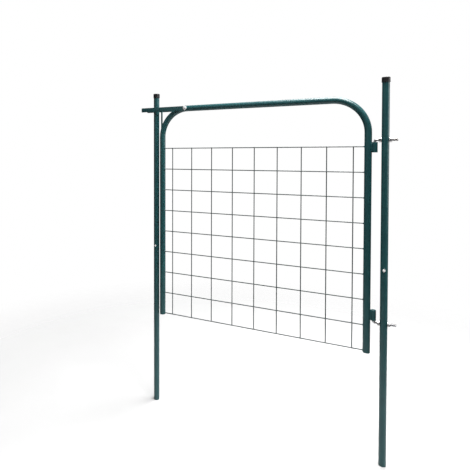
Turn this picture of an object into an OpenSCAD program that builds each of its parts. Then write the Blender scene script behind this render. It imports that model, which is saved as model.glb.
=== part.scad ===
// Panel gate: two steel posts, a hung leaf of bent tube and welded wire, and a fork latch.
// Units are millimetres. X runs from the latch post to the hinge post, Y to the back, Z up.
// The origin is the centre of the latch post's foot.

/* [Posts] */
// Height of each post, from its foot to the open end of its tube
post_height = 1500; // [1250:10:2200]
// Outside diameter of the post tube
post_diameter = 27; // [22:0.5:34]
// Wall of the post tube
post_wall = 1.5; // [1:0.1:2]
// Height of the joint between the two tubes of a post, above the lower hinge hook
post_joint_rise = 181.5; // [100:0.5:250]
// Length of the reduced neck that plugs into the upper tube
post_neck_length = 60; // [45:5:120]
// Height of the cross screw above the joint
post_screw_rise = 28; // [20:1:40]
// Diameter of the cross screw that locks the joint
post_screw_diameter = 6; // [5:0.5:8]
// Height of the plastic cap on each post
post_cap_height = 20; // [14:1:30]
// Wall of the plastic cap
post_cap_wall = 2; // [1.5:0.25:3]

/* [Leaf] */
// Width of the leaf over its two legs
leaf_width = 933; // [700:1:1200]
// Height of the leaf over its top rail
leaf_height = 1008; // [800:1:1300]
// How far the top of the leaf lies below the open ends of the post tubes
leaf_drop = 62; // [45:1:120]
// Outside diameter of the leaf's tube
leaf_diameter = 27; // [22:0.5:34]
// Wall of the leaf's tube
leaf_wall = 1.5; // [1:0.1:3]
// Radius of the top corners, on the centre line of the tube
bend_radius = 132; // [90:1:180]
// Free gap between the latch post and the leaf
latch_gap = 7; // [5:0.5:20]

/* [Foot plugs] */
// Depth of the plug in the foot of each post and leg
plug_depth = 16; // [8:1:30]
// Wall of the plugs
plug_wall = 2; // [1:0.25:3]

/* [Wire mesh] */
// Pitch of the mesh in both directions
mesh_pitch = 100; // [60:5:150]
// Diameter of the wires
wire_diameter = 4; // [3:0.5:6]
// Height of the lowest wire above the feet of the legs
mesh_foot = 7.5; // [5:0.5:40]
// How far the upright wires run past the outer level wires
wire_overhang = 2; // [2:0.5:10]

/* [Hinges] */
// Diameter of the hook bolts
hook_diameter = 10; // [8:1:12]
// Radius of the hook's corner, on its centre line
hook_bend_radius = 7; // [7:0.5:12]
// How far the hook's rod stands out past its outer nut
hook_proud = 20.5; // [5:0.5:60]
// Free gap between the hinge sleeves and the inner nuts
hinge_gap = 3.5; // [2:0.5:20]
// Wall of the hinge sleeves
sleeve_wall = 4.5; // [2:0.25:6]
// Length of the hinge sleeves
sleeve_length = 40; // [25:1:50]
// Gap around the pin in its sleeve
pin_clearance = 0.5; // [0.1:0.1:1]
// Height of the lower sleeve's foot above the feet of the legs
lower_sleeve_rise = 131; // [60:1:250]
// Depth of the upper sleeve's top below the start of the bend
upper_sleeve_drop = 37.5; // [5:0.5:150]

/* [Latch] */
// Distance from the centre of the latch-side leg to the lever's pivot
pivot_distance = 126; // [90:1:250]
// How far the front plate reaches past the centre of the latch post
lever_reach = 73; // [60:1:120]
// How much shorter the rear plate is
rear_plate_setback = 10; // [0:1:20]
// Height of the lever's plates
plate_height = 20; // [18:1:30]
// Thickness of the lever's plates
plate_thickness = 3; // [2:0.5:5]
// Free gap between the plates and the caps of the posts
cap_clearance = 2; // [1:0.5:5]
// Diameter of the two spacer pins between the plates
spacer_pin_diameter = 8; // [7:0.5:12]
// Diameter of the pivot bolt
pivot_bolt_diameter = 8; // [6:0.5:10]
// Diameter of the rod on the leaf that carries the lever
rest_diameter = 8; // [5:0.5:10]
// Distance of that rod from the centre of the leg, towards the latch post
rest_offset = 5; // [0:0.5:8]

/* [Hidden] */
$fn = 64;
// Clearances between pieces
fit = 0.1;       // radial, between pieces that are pushed together
hole_play = 0.3; // radial, around screws and bolts
rest_play = 0.3; // between the lever and the rod it rests on
axial_play = 0.5; // between a sleeve and the hook that carries it
lift_play = 1.5; // between the upper sleeve and its hook
cut = 1;         // how far cutting bodies run past a face

// Posts
post_radius = post_diameter / 2;
post_bore = post_radius - post_wall;
neck_radius = post_bore - fit;
neck_taper = 8;
cap_radius = post_radius + post_cap_wall;
cap_top = 3;
cap_chamfer = 1.2;

// Leaf
leaf_radius = leaf_diameter / 2;
leg_spacing = leaf_width - leaf_diameter;
latch_leg_x = post_radius + latch_gap + leaf_radius;
hinge_leg_x = latch_leg_x + leg_spacing;
leaf_top = post_height - leaf_drop;
leaf_foot = leaf_top - leaf_height;
rail_z = leaf_top - leaf_radius;
bend_z = rail_z - bend_radius;

// Mesh: as many whole cells as fit between the legs and under the bends
mesh_edge = 20; // least space between the outer upright wires and the legs
bend_edge = 10; // least space between the top wire and the start of the bends
columns = floor((leg_spacing - leaf_diameter - 2 * mesh_edge) / mesh_pitch);
rows = floor((bend_z - bend_edge - leaf_foot - mesh_foot) / mesh_pitch);
mesh_left = (latch_leg_x + hinge_leg_x - columns * mesh_pitch) / 2;
mesh_bottom = leaf_foot + mesh_foot;
mesh_top = mesh_bottom + rows * mesh_pitch;

// Hinges
hook_radius = hook_diameter / 2;
sleeve_bore = hook_radius + pin_clearance;
sleeve_radius = sleeve_bore + sleeve_wall;
hook_nut_width = 1.7 * hook_diameter;
hook_nut_height = 0.8 * hook_diameter;
washer_thickness = 1.5;
washer_width = 2 * hook_diameter;
clamp_stack = post_radius + washer_thickness + hook_nut_height; // from the post's centre to a nut's outer face
hinge_x = hinge_leg_x + leaf_radius + sleeve_radius;
hinge_post_x = hinge_x + sleeve_radius + hinge_gap + clamp_stack;
lower_sleeve_z = leaf_foot + lower_sleeve_rise;
upper_sleeve_z = bend_z - upper_sleeve_drop - sleeve_length;
lower_hook_z = lower_sleeve_z - axial_play - hook_bend_radius;
upper_hook_z = upper_sleeve_z + sleeve_length + lift_play + hook_bend_radius;
pin_inset = 1.5; // how far the lower pin stops short of its sleeve's end
hook_pin_length = hook_bend_radius + axial_play + sleeve_length - pin_inset;
hook_rod_length = hinge_post_x - hinge_x + clamp_stack + hook_proud;

// Joint of the posts
post_joint_height = lower_hook_z + post_joint_rise;
screw_z = post_joint_height + post_screw_rise;

// Latch
pivot_x = latch_leg_x + pivot_distance;
bend_run = max(bend_radius - pivot_distance, 0);
pivot_z = bend_z + sqrt(pow(bend_radius, 2) - pow(bend_run, 2));
spacer_least = 1; // least thickness of the spacers beside the rail
plate_inner_y = max(cap_radius + cap_clearance, leaf_radius + spacer_least + fit);
plate_outer_y = plate_inner_y + plate_thickness;
front_end_x = -lever_reach;
rear_end_x = front_end_x + rear_plate_setback;
end_pin_inset = 12; // from the rear plate's end to the first spacer pin
end_pin_x = rear_end_x + end_pin_inset;
rest_x = latch_leg_x - rest_offset;
rest_top = pivot_z - spacer_pin_diameter / 2 - rest_play;
rivet_step = 1.5; // how much the spacer pins step in for their rivet ends
rivet_radius = spacer_pin_diameter / 2 - rivet_step;
rivet_proud = 1;
pivot_spacer_width = 2.2 * pivot_bolt_diameter;

// Fasteners, in the proportions of metric ones
screw_radius = post_screw_diameter / 2;
screw_head_width = 1.75 * post_screw_diameter;
screw_head_height = 0.58 * post_screw_diameter;
screw_nut_width = 1.667 * post_screw_diameter;
screw_nut_height = 0.8 * post_screw_diameter;
bolt_radius = pivot_bolt_diameter / 2;
bolt_head_width = 2.5 * pivot_bolt_diameter;
bolt_head_height = 0.55 * pivot_bolt_diameter;
bolt_nut_width = 1.625 * pivot_bolt_diameter;
bolt_nut_height = 0.8 * pivot_bolt_diameter;
thread_proud = 2; // how far a thread stands out of its nut
head_root = 0.5;  // how far a shank runs up into its head

GREEN = "#1f4f4c";
BLACK = "#1c1c1e";
ZINC = "#c3c6c8";

LINE_WIRES = [for (i = [0:rows]) str("line_wire_", i + 1)];
CROSS_WIRES = [for (i = [0:columns]) str("cross_wire_", i + 1)];

// ---------- shared shapes ----------

// A cylinder along Y, from y0 to y1
module y_cylinder(r, y0, y1) {
    translate([0, y1, 0]) rotate([90, 0, 0]) cylinder(r = r, h = y1 - y0);
}

// A cylinder along X, from x0 to x1
module x_cylinder(r, x0, x1) {
    translate([x0, 0, 0]) rotate([0, 90, 0]) cylinder(r = r, h = x1 - x0);
}

// A round head with a flat underside at z = 0
module dome(width, height) {
    ball = (pow(width / 2, 2) + pow(height, 2)) / (2 * height);
    intersection() {
        translate([0, 0, height - ball]) sphere(r = ball);
        cylinder(r = width, h = height + cut);
    }
}

// A six-sided nut standing on z = 0
module nut(width, bore, height) {
    difference() {
        cylinder(d = width / cos(30), h = height, $fn = 6);
        translate([0, 0, -cut]) cylinder(r = bore, h = height + 2 * cut);
    }
}

// A ring standing on z = 0
module ring(outer, bore, height) {
    difference() {
        cylinder(r = outer, h = height);
        translate([0, 0, -cut]) cylinder(r = bore, h = height + 2 * cut);
    }
}

// Plug in the foot of a tube: a cup pushed in until it is flush with the tube's end
module foot_plug(bore) {
    stem = bore - fit;
    color(BLACK) difference() {
        cylinder(r = stem, h = plug_depth);
        translate([0, 0, plug_wall]) cylinder(r = stem - plug_wall, h = plug_depth);
    }
}

// ---------- posts ----------

// The hole of a joint screw, through a post on the Z axis
module screw_hole() {
    translate([0, 0, screw_z]) y_cylinder(screw_radius + hole_play, -post_diameter, post_diameter);
}

// The holes of both hook bolts, through the hinge post on the Z axis
module hook_holes() {
    for (z = [lower_hook_z, upper_hook_z])
        translate([0, 0, z]) x_cylinder(hook_radius + hole_play, -post_diameter, post_diameter);
}

// Lower tube: full width up to the joint, then a neck
module lower_tube() {
    neck_top = post_joint_height + post_neck_length;
    neck_bore = neck_radius - post_wall;
    difference() {
        rotate_extrude() polygon([
            [post_bore, 0],
            [post_radius, 0],
            [post_radius, post_joint_height],
            [neck_radius, post_joint_height],
            [neck_radius, neck_top],
            [neck_bore, neck_top],
            [neck_bore, post_joint_height - post_wall],
            [post_bore, post_joint_height - post_wall - neck_taper]
        ]);
        screw_hole();
    }
}

// Upper tube: plain, standing on the shoulder of the lower one
module upper_tube() {
    difference() {
        translate([0, 0, post_joint_height]) ring(post_radius, post_bore, post_height - post_joint_height);
        screw_hole();
    }
}

// Cap: a turned cup pushed over the open end of the tube
module post_cap() {
    top = post_height + cap_top;
    foot = top - post_cap_height;
    color(BLACK) rotate_extrude() polygon([
        [0, post_height],
        [post_radius, post_height],
        [post_radius, foot],
        [cap_radius, foot],
        [cap_radius, top - cap_chamfer],
        [cap_radius - cap_chamfer, top],
        [0, top]
    ]);
}

// Joint screw: domed head in front, thread out at the back
module post_screw() {
    color(ZINC) translate([0, 0, screw_z]) union() {
        y_cylinder(screw_radius, -post_radius - head_root, post_radius + screw_nut_height + thread_proud);
        translate([0, -post_radius, 0]) rotate([90, 0, 0]) dome(screw_head_width, screw_head_height);
    }
}

module post_nut() {
    color(ZINC) translate([0, post_radius, screw_z]) rotate([-90, 0, 0])
        nut(screw_nut_width, screw_radius, screw_nut_height);
}

module latch_post_lower() { color(GREEN) lower_tube(); }
module latch_post_upper() { color(GREEN) upper_tube(); }

module hinge_post_lower() {
    color(GREEN) translate([hinge_post_x, 0, 0]) difference() {
        lower_tube();
        hook_holes();
    }
}

module hinge_post_upper() {
    color(GREEN) translate([hinge_post_x, 0, 0]) difference() {
        upper_tube();
        hook_holes();
    }
}

// ---------- hinges ----------

// Hook bolt with its pin pointing up; the corner of its centre line is the origin
module hook() {
    bend = hook_bend_radius;
    color(ZINC) union() {
        translate([0, 0, bend]) cylinder(r = hook_radius, h = hook_pin_length - bend);
        translate([bend, 0, bend]) rotate([90, 0, 0]) rotate_extrude(angle = 90, start = 180)
            translate([bend, 0]) circle(r = hook_radius);
        x_cylinder(hook_radius, bend, hook_rod_length);
    }
}

module upper_hook() { translate([hinge_x, 0, upper_hook_z]) mirror([0, 0, 1]) hook(); }
module lower_hook() { translate([hinge_x, 0, lower_hook_z]) hook(); }

// Nut beside the hinge post, on the given side: -1 towards the leaf, 1 away from it
module hook_nut(z, side) {
    seat = post_radius + washer_thickness;
    color(ZINC) translate([hinge_post_x + side * seat, 0, z]) rotate([0, side * 90, 0])
        nut(hook_nut_width, hook_radius, hook_nut_height);
}

// Washers on both sides of the hinge post
module hook_washers(z) {
    color(ZINC) for (side = [-1, 1])
        translate([hinge_post_x + side * post_radius, 0, z]) rotate([0, side * 90, 0])
            ring(washer_width / 2, hook_radius + fit, washer_thickness);
}

// Hinge sleeve, welded to the side of the leg
module hinge_sleeve(z) {
    color(GREEN) translate([hinge_x, 0, z]) ring(sleeve_radius, sleeve_bore, sleeve_length);
}

// ---------- leaf ----------

// The tube of the leaf with a given radius: two legs, two bends and the rail
module leaf_path(r, foot) {
    run = leg_spacing - 2 * bend_radius;
    translate([0, 0, foot]) cylinder(r = r, h = bend_z - foot);
    translate([leg_spacing, 0, foot]) cylinder(r = r, h = bend_z - foot);
    translate([0, 0, rail_z]) x_cylinder(r, bend_radius, bend_radius + run);
    translate([bend_radius, 0, bend_z]) rotate([90, 0, 0]) rotate_extrude(angle = 90, start = 90)
        translate([bend_radius, 0]) circle(r = r);
    translate([bend_radius + run, 0, bend_z]) rotate([90, 0, 0]) rotate_extrude(angle = 90)
        translate([bend_radius, 0]) circle(r = r);
}

module leaf_frame() {
    color(GREEN) translate([latch_leg_x, 0, 0]) difference() {
        leaf_path(leaf_radius, leaf_foot);
        leaf_path(leaf_radius - leaf_wall, leaf_foot - cut);
        translate([pivot_distance, 0, pivot_z])
            y_cylinder(bolt_radius + hole_play, -leaf_diameter, leaf_diameter);
    }
}

module leg_plug(x) { translate([x, 0, leaf_foot]) foot_plug(leaf_radius - leaf_wall); }

// Level wire from leg to leg, its ends shaped to the tubes they are welded to
module line_wire(i) {
    color(GREEN) translate([0, -wire_diameter / 2, mesh_bottom + i * mesh_pitch]) difference() {
        x_cylinder(wire_diameter / 2, latch_leg_x, hinge_leg_x);
        for (x = [latch_leg_x, hinge_leg_x])
            translate([x, wire_diameter / 2, -wire_diameter]) cylinder(r = leaf_radius, h = 2 * wire_diameter);
    }
}

// Upright wire, welded to the back of the level ones
module cross_wire(i) {
    color(GREEN) translate([mesh_left + i * mesh_pitch, wire_diameter / 2, mesh_bottom - wire_overhang])
        cylinder(r = wire_diameter / 2, h = mesh_top - mesh_bottom + 2 * wire_overhang);
}

// Rod on the bend that carries the lever, its foot shaped to the tube
module latch_rest() {
    color(GREEN) difference() {
        translate([rest_x, 0, bend_z]) cylinder(r = rest_diameter / 2, h = rest_top - bend_z);
        translate([latch_leg_x, 0, 0]) leaf_path(leaf_radius, leaf_foot);
        translate([latch_leg_x - leaf_radius, -leaf_radius, bend_z - cut])
            cube([leaf_diameter, leaf_diameter, 2 * cut]);
    }
}

// ---------- latch ----------

// A plate of the lever, from its square end at end_x to its round end on the pivot
module lever_plate(end_x, y) {
    chamfer = 2;
    color(GREEN) translate([0, y, pivot_z]) difference() {
        union() {
            translate([0, plate_thickness, 0]) rotate([90, 0, 0]) linear_extrude(plate_thickness) polygon([
                [end_x, chamfer - plate_height / 2],
                [end_x + chamfer, -plate_height / 2],
                [pivot_x, -plate_height / 2],
                [pivot_x, plate_height / 2],
                [end_x + chamfer, plate_height / 2],
                [end_x, plate_height / 2 - chamfer]
            ]);
            translate([pivot_x, 0, 0]) y_cylinder(plate_height / 2, 0, plate_thickness);
        }
        translate([pivot_x, 0, 0]) y_cylinder(bolt_radius + hole_play, -cut, plate_thickness + cut);
        for (x = [end_pin_x, rest_x])
            translate([x, 0, 0]) y_cylinder(rivet_radius + fit, -cut, plate_thickness + cut);
    }
}

module latch_front_plate() { lever_plate(front_end_x, -plate_outer_y); }
module latch_rear_plate() { lever_plate(rear_end_x, plate_inner_y); }

// Spacer pin between the plates, with a rivet end through each
module spacer_pin(x) {
    reach = plate_outer_y + rivet_proud;
    color(GREEN) translate([x, 0, pivot_z]) union() {
        y_cylinder(spacer_pin_diameter / 2, -plate_inner_y, plate_inner_y);
        y_cylinder(rivet_radius, -reach, reach);
    }
}

// Pivot bolt: domed head in front, nut at the back
module pivot_bolt() {
    seat = plate_outer_y + fit;
    color(ZINC) translate([pivot_x, 0, pivot_z]) union() {
        y_cylinder(bolt_radius, -seat - head_root, seat + bolt_nut_height + thread_proud);
        translate([0, -seat, 0]) rotate([90, 0, 0]) dome(bolt_head_width, bolt_head_height);
    }
}

module pivot_nut() {
    color(ZINC) translate([pivot_x, plate_outer_y + fit, pivot_z]) rotate([-90, 0, 0])
        nut(bolt_nut_width, bolt_radius, bolt_nut_height);
}

// Spacers between the rail and the two plates
module pivot_spacers() {
    gap = plate_inner_y - leaf_radius - fit;
    color(ZINC) translate([pivot_x, 0, pivot_z]) for (side = [-1, 1])
        translate([0, side * leaf_radius, 0]) rotate([-side * 90, 0, 0])
            ring(pivot_spacer_width / 2, bolt_radius + fit, gap);
}

// ---------- assembly ----------

latch_post_lower();
latch_post_upper();
post_cap();  // latch_post_cap
foot_plug(post_bore);  // latch_post_plug
post_screw();  // latch_post_screw
post_nut();  // latch_post_nut
hinge_post_lower();
hinge_post_upper();
translate([hinge_post_x, 0, 0]) post_cap();  // hinge_post_cap
translate([hinge_post_x, 0, 0]) foot_plug(post_bore);  // hinge_post_plug
translate([hinge_post_x, 0, 0]) post_screw();  // hinge_post_screw
translate([hinge_post_x, 0, 0]) post_nut();  // hinge_post_nut
upper_hook();
hook_nut(upper_hook_z, -1);  // upper_hook_inner_nut
hook_nut(upper_hook_z, 1);  // upper_hook_outer_nut
hook_washers(upper_hook_z);  // upper_hook_washers
lower_hook();
hook_nut(lower_hook_z, -1);  // lower_hook_inner_nut
hook_nut(lower_hook_z, 1);  // lower_hook_outer_nut
hook_washers(lower_hook_z);  // lower_hook_washers
leaf_frame();
hinge_sleeve(upper_sleeve_z);  // upper_hinge_sleeve
hinge_sleeve(lower_sleeve_z);  // lower_hinge_sleeve
leg_plug(latch_leg_x);  // latch_leg_plug
leg_plug(hinge_leg_x);  // hinge_leg_plug
latch_rest();
pivot_bolt();
pivot_nut();
pivot_spacers();
latch_front_plate();
latch_rear_plate();
spacer_pin(end_pin_x);  // latch_end_pin
spacer_pin(rest_x);  // latch_rest_pin
for (i = [0:rows]) line_wire(i);
for (i = [0:columns]) cross_wire(i);
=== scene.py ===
"""Panel gate: finish and fine detail around the fixed frame of two posts, a hung leaf and a fork latch.

Lengths are metres. X runs from the latch post to the hinge post, Y to the back, Z up.
"""

import logging
import math
from dataclasses import dataclass, field
from enum import Enum
from typing import Callable, Iterable, Optional, Sequence

import bmesh
import bpy
from mathutils import Matrix, Vector


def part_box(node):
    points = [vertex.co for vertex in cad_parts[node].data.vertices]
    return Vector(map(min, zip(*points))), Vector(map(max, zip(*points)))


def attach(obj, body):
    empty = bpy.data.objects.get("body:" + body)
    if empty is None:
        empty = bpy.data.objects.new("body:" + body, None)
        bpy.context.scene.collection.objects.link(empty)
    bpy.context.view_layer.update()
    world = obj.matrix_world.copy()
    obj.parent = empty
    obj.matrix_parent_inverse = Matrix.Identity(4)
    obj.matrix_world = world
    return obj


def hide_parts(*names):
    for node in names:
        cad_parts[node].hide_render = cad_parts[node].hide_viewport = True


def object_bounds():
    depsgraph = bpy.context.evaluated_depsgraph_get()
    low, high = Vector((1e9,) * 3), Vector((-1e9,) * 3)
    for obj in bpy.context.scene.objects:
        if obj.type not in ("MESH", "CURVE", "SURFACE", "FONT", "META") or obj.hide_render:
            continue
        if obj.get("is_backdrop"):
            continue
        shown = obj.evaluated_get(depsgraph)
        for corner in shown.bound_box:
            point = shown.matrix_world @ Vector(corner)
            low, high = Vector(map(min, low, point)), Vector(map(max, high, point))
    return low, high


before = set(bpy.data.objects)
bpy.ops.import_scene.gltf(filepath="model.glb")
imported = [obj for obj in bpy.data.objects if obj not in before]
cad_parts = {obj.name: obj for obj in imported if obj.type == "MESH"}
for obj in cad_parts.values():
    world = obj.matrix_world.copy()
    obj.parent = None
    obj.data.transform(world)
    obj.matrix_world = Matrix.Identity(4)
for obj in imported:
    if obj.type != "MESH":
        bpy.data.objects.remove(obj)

MM = 0.001
LOG = logging.getLogger("gate")

Rgb = tuple[float, float, float]
Station = tuple[float, float]
Ripple = Callable[[float, float], float]

X_AXIS = Vector((1, 0, 0))
Y_AXIS = Vector((0, 1, 0))
Z_AXIS = Vector((0, 0, 1))


class Body(Enum):
    """The bodies of the gate that move apart from each other."""

    POSTS = "posts"
    LEAF = "leaf"
    LEVER = "latch_lever"


class Side(Enum):
    """The two ends of the gate, with the direction in which each faces away from the leaf."""

    LATCH = -1
    HINGE = 1


# ---------------------------------------------------------------------------
# Shape making
# ---------------------------------------------------------------------------


@dataclass
class Box:
    """The space that one node of the frame takes up.

    Args:
        node: Name of the node.
        low: Corner with the smallest values, read from the frame.
        high: Corner with the largest values, read from the frame.
    """

    node: str
    low: Vector = field(init=False)
    high: Vector = field(init=False)

    def __post_init__(self) -> None:
        """Reads the two corners from the frame."""
        self.low, self.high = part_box(self.node)

    @property
    def centre(self) -> Vector:
        """The middle of the box."""
        return (self.low + self.high) / 2

    @property
    def size(self) -> Vector:
        """The box's length along each axis."""
        return self.high - self.low


class Route:
    """A flat line of straights and bends that a tube or rod follows.

    Args:
        start: First point.
        heading: Direction at the first point.
        side: Normal of the plane that the route stays in.
    """

    def __init__(self, start: Vector, heading: Vector, side: Vector = Y_AXIS) -> None:
        """Starts a route without any parts.

        Args:
            start: First point.
            heading: Direction at the first point.
            side: Normal of the plane that the route stays in.
        """
        self.side = side.normalized()
        self.length = 0.0
        self._point = start.copy()
        self._heading = heading.normalized()
        self._parts: list[tuple[float, float, Vector, Vector, float]] = []

    def straight(self, length: float) -> "Route":
        """Adds a straight.

        Args:
            length: Length of the straight.

        Returns:
            The route itself, so that calls can be chained.
        """
        self._parts.append((self.length, length, self._point.copy(), self._heading.copy(), 0.0))
        self._point += self._heading * length
        self.length += length
        return self

    def bend(self, radius: float, angle: float) -> "Route":
        """Adds an arc.

        Args:
            radius: Radius of the arc on the route's line.
            angle: Turn in radians about the route's side axis, with its sign.

        Returns:
            The route itself, so that calls can be chained.
        """
        length = radius * abs(angle)
        self._parts.append((self.length, length, self._point.copy(), self._heading.copy(), angle))
        centre = self._bend_centre(self._point, self._heading, length, angle)
        turn = Matrix.Rotation(angle, 3, self.side)
        self._point = centre + turn @ (self._point - centre)
        self._heading = turn @ self._heading
        self.length += length
        return self

    def at(self, distance: float) -> tuple[Vector, Vector]:
        """Finds the place at a distance along the route.

        Args:
            distance: Distance from the start. Past an end the route runs on straight.

        Returns:
            The point there and the unit direction of the route.
        """
        if not self._parts:
            return self._point + self._heading * distance, self._heading.copy()
        part = self._parts[0]
        for candidate in self._parts:
            if distance >= candidate[0] - 1e-12:
                part = candidate
        begin, length, point, heading, angle = part
        travel = distance - begin
        if angle == 0.0:
            return point + heading * travel, heading.copy()
        centre = self._bend_centre(point, heading, length, angle)
        turn = Matrix.Rotation(angle * travel / length, 3, self.side)
        return centre + turn @ (point - centre), turn @ heading

    def stops(self, bend_step: float) -> list[float]:
        """Lists the distances where a tube along the route needs a ring.

        Args:
            bend_step: Largest turn between two rings, in radians.

        Returns:
            Distances from the start, in order.
        """
        found = [0.0]
        for begin, length, _, _, angle in self._parts:
            count = max(1, math.ceil(abs(angle) / bend_step))
            found += [begin + length * (k + 1) / count for k in range(count)]
        return found

    def _bend_centre(self, point: Vector, heading: Vector, length: float, angle: float) -> Vector:
        """The centre of an arc that starts at point along heading."""
        across = self.side.cross(heading)
        return point + across * (length / angle)


def held(stations: list[Station], long: float = 5 * MM, close: float = 0.5 * MM) -> list[Station]:
    """Adds a ring close to both ends of every long stretch, so that its shading stays straight.

    Args:
        stations: Distance and radius of each ring.
        long: Stretches longer than this get the rings.
        close: Distance of the new rings from the stretch's ends.

    Returns:
        The stations with the new ones in between.
    """
    full = stations[:1]
    for (start, near), (end, far) in zip(stations, stations[1:]):
        length = math.hypot(end - start, far - near)
        if length > long and near > 0 and far > 0:
            for share in (close / length, 1 - close / length):
                full.append((start + (end - start) * share, near + (far - near) * share))
        full.append((end, far))
    return full


class Shape:
    """A closed mesh that is put together from rings of points.

    Args:
        name: Name of the piece.
    """

    def __init__(self, name: str) -> None:
        """Starts an empty mesh."""
        self.name = name
        self.bm = bmesh.new()

    def loft(self, rings: Sequence[Sequence[Vector]], closed: bool = False) -> None:
        """Skins a row of rings with the same number of points each. A ring of one point is a pole.

        Args:
            rings: The rings in order.
            closed: True joins the last ring to the first one, False caps both ends.
        """
        made = [[self.bm.verts.new(point) for point in ring] for ring in rings]
        pairs = list(zip(made, made[1:]))
        if closed:
            pairs.append((made[-1], made[0]))
        for lower, upper in pairs:
            count = max(len(lower), len(upper))
            for k in range(count):
                n = (k + 1) % count
                if len(lower) == 1:
                    corners = (lower[0], upper[n], upper[k])
                elif len(upper) == 1:
                    corners = (lower[k], lower[n], upper[0])
                else:
                    corners = (lower[k], lower[n], upper[n], upper[k])
                self.bm.faces.new(corners)
        if not closed:
            if len(made[0]) > 1:
                self.bm.faces.new(reversed(made[0]))
            if len(made[-1]) > 1:
                self.bm.faces.new(made[-1])

    def tube(
        self,
        route: Route,
        stations: Iterable[Station],
        segments: int = 40,
        closed: bool = False,
        ripple: Optional[Ripple] = None,
    ) -> None:
        """Sweeps round rings along a route.

        Args:
            route: The line that the rings follow.
            stations: Distance along the route and radius of each ring.
            segments: Points in each ring.
            closed: True for a hollow shape, whose stations come back inside the outer ones.
            ripple: Extra radius for a distance along the route and an angle round it.
        """
        rings = []
        for distance, radius in held(list(stations)):
            point, heading = route.at(distance)
            if radius <= 0.0:
                rings.append([point])
                continue
            out = route.side.cross(heading)
            ring = []
            for k in range(segments):
                angle = 2 * math.pi * k / segments
                extra = ripple(distance, angle) if ripple else 0.0
                arm = out * math.cos(angle) + route.side * math.sin(angle)
                ring.append(point + arm * (radius + extra))
            rings.append(ring)
        self.loft(rings, closed)

    def hexagon(self, base: Vector, axis: Vector, width: float, bore: float, height: float) -> None:
        """Adds a nut with a chamfer on both faces and a countersunk bore.

        Args:
            base: Centre of the face that the nut sits on.
            axis: Direction from that face to the other one.
            width: Width across the flats.
            bore: Radius of the hole.
            height: Height of the nut.
        """
        count = 72
        lead = 0.06 * width
        crown = 0.475 * width
        axis = axis.normalized()
        first = Y_AXIS if abs(axis.x) > 0.5 else Z_AXIS
        second = axis.cross(first)

        def ring(radius: Callable[[float], float], lift: Callable[[float], float]) -> list[Vector]:
            """Makes one ring of the nut.

            Args:
                radius: Distance from the axis at an angle.
                lift: Height above the seat at an angle.

            Returns:
                The ring's points.
            """
            points = []
            for k in range(count):
                angle = 2 * math.pi * k / count
                arm = first * math.cos(angle) + second * math.sin(angle)
                points.append(base + arm * radius(angle) + axis * lift(angle))
            return points

        def flat(angle: float) -> float:
            """Distance from the axis to the six-sided outline."""
            step = math.pi / 3
            return width / 2 / math.cos((angle + step / 2) % step - step / 2)

        def drop(angle: float) -> float:
            """How far the chamfer has come down where it meets the outline."""
            return max(flat(angle) - crown, 0.0) * math.tan(math.radians(30))

        rings = [
            ring(lambda a: bore + lead, lambda a: 0.0),
            ring(lambda a: bore, lambda a: lead),
            ring(lambda a: bore, lambda a: height - lead),
            ring(lambda a: bore + lead, lambda a: height),
            ring(lambda a: crown, lambda a: height),
            ring(flat, lambda a: height - drop(a)),
            ring(flat, drop),
            ring(lambda a: crown, lambda a: 0.0),
        ]
        self.loft(rings, closed=True)

    def plate(self, outline: Sequence[Vector], thickness: Vector, ease: float) -> None:
        """Adds a flat plate with eased edges.

        Args:
            outline: Corners of one face, in order.
            thickness: Vector from that face to the other one.
            ease: Width of the eased edge.
        """
        near = [self.bm.verts.new(point) for point in outline]
        far = [self.bm.verts.new(point + thickness) for point in outline]
        faces = [self.bm.faces.new(reversed(near)), self.bm.faces.new(far)]
        for k, corner in enumerate(near):
            n = (k + 1) % len(near)
            self.bm.faces.new((corner, near[n], far[n], far[k]))
        rims = [edge for face in faces for edge in face.edges]
        bmesh.ops.bevel(
            self.bm, geom=rims, offset=ease, segments=2, profile=0.6, affect="EDGES", clamp_overlap=True
        )

    def piece(self, sharp_degrees: float = 38.0) -> bpy.types.Object:
        """Turns the shape into an object.

        Args:
            sharp_degrees: Edges that turn more than this stay sharp.

        Returns:
            The new object, in place.
        """
        bmesh.ops.recalc_face_normals(self.bm, faces=self.bm.faces)
        mesh = bpy.data.meshes.new(self.name)
        self.bm.to_mesh(mesh)
        self.bm.free()
        mesh.polygons.foreach_set("use_smooth", [True] * len(mesh.polygons))
        mesh.set_sharp_from_angle(angle=math.radians(sharp_degrees))
        made = bpy.data.objects.new(self.name, mesh)
        bpy.context.scene.collection.objects.link(made)
        return made


def drill(
    piece: bpy.types.Object,
    cutters: Sequence[bpy.types.Object],
    sharp_degrees: float = 38.0,
) -> None:
    """Cuts other shapes out of a piece and removes them.

    Args:
        piece: The piece that is cut.
        cutters: Closed shapes that are taken away.
        sharp_degrees: Edges that turn more than this stay sharp.
    """
    for cutter in cutters:
        step = piece.modifiers.new("cut", "BOOLEAN")
        step.operation = "DIFFERENCE"
        step.solver = "EXACT"
        step.object = cutter
    bpy.context.view_layer.update()
    result = bpy.data.meshes.new_from_object(piece.evaluated_get(bpy.context.evaluated_depsgraph_get()))
    piece.modifiers.clear()
    old = piece.data
    piece.data = result
    result.name = old.name
    bpy.data.meshes.remove(old)
    for cutter in cutters:
        spare = cutter.data
        bpy.data.objects.remove(cutter)
        bpy.data.meshes.remove(spare)
    result.polygons.foreach_set("use_smooth", [True] * len(result.polygons))
    result.set_sharp_from_angle(angle=math.radians(sharp_degrees))


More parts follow.
